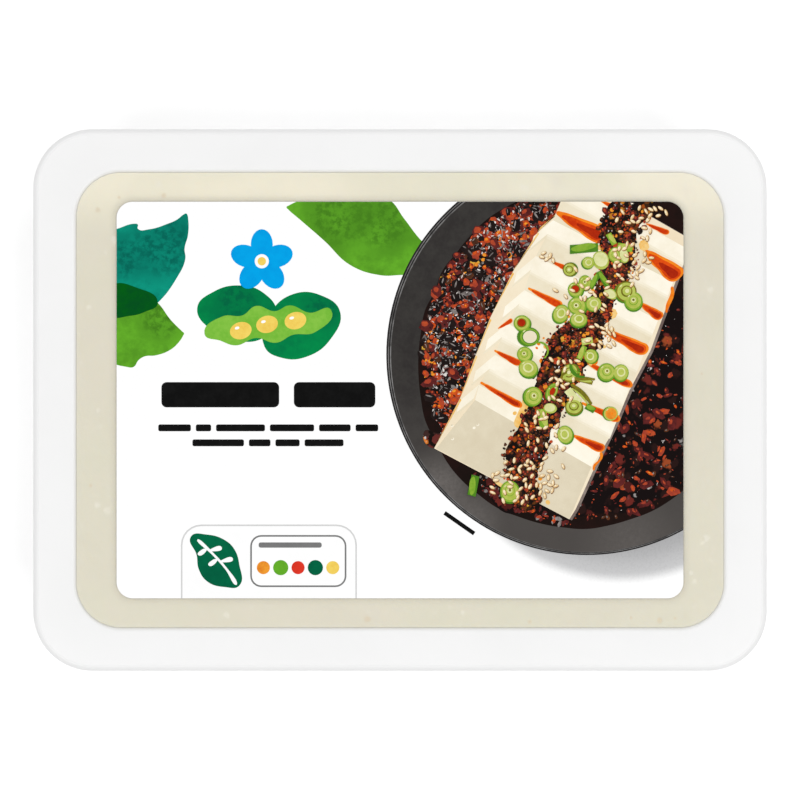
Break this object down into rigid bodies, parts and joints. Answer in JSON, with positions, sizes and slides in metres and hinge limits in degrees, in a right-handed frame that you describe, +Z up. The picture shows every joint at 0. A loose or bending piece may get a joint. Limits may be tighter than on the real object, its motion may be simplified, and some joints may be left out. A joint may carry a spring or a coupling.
{
  "type": "sealed tray pack of tofu",
  "caption": "Sealed rectangular tray of silken tofu: white formed tray with a wide flat rim, pale tofu filling it, clear lid film and a printed label on top.",
  "frame": {"origin": "middle of the pack's base, on the surface that it stands on", "axes": "+X along the pack's long side, to the right of the label as it is read; +Y towards the top of the label; +Z up through the lid"},
  "size_m": [0.14, 0.1034, 0.0325],
  "materials": {
    "white_plastic": "satin white formed plastic",
    "tofu": "moist cream bean curd seen through film",
    "clear_film": "clear glossy film",
    "label": "white printed label with a satin coat"
  },
  "bodies": {
    "root": {"tray": "white_plastic", "tofu_block": "tofu", "lid_film": "clear_film", "label": "label"}
  },
  "joints": []
}
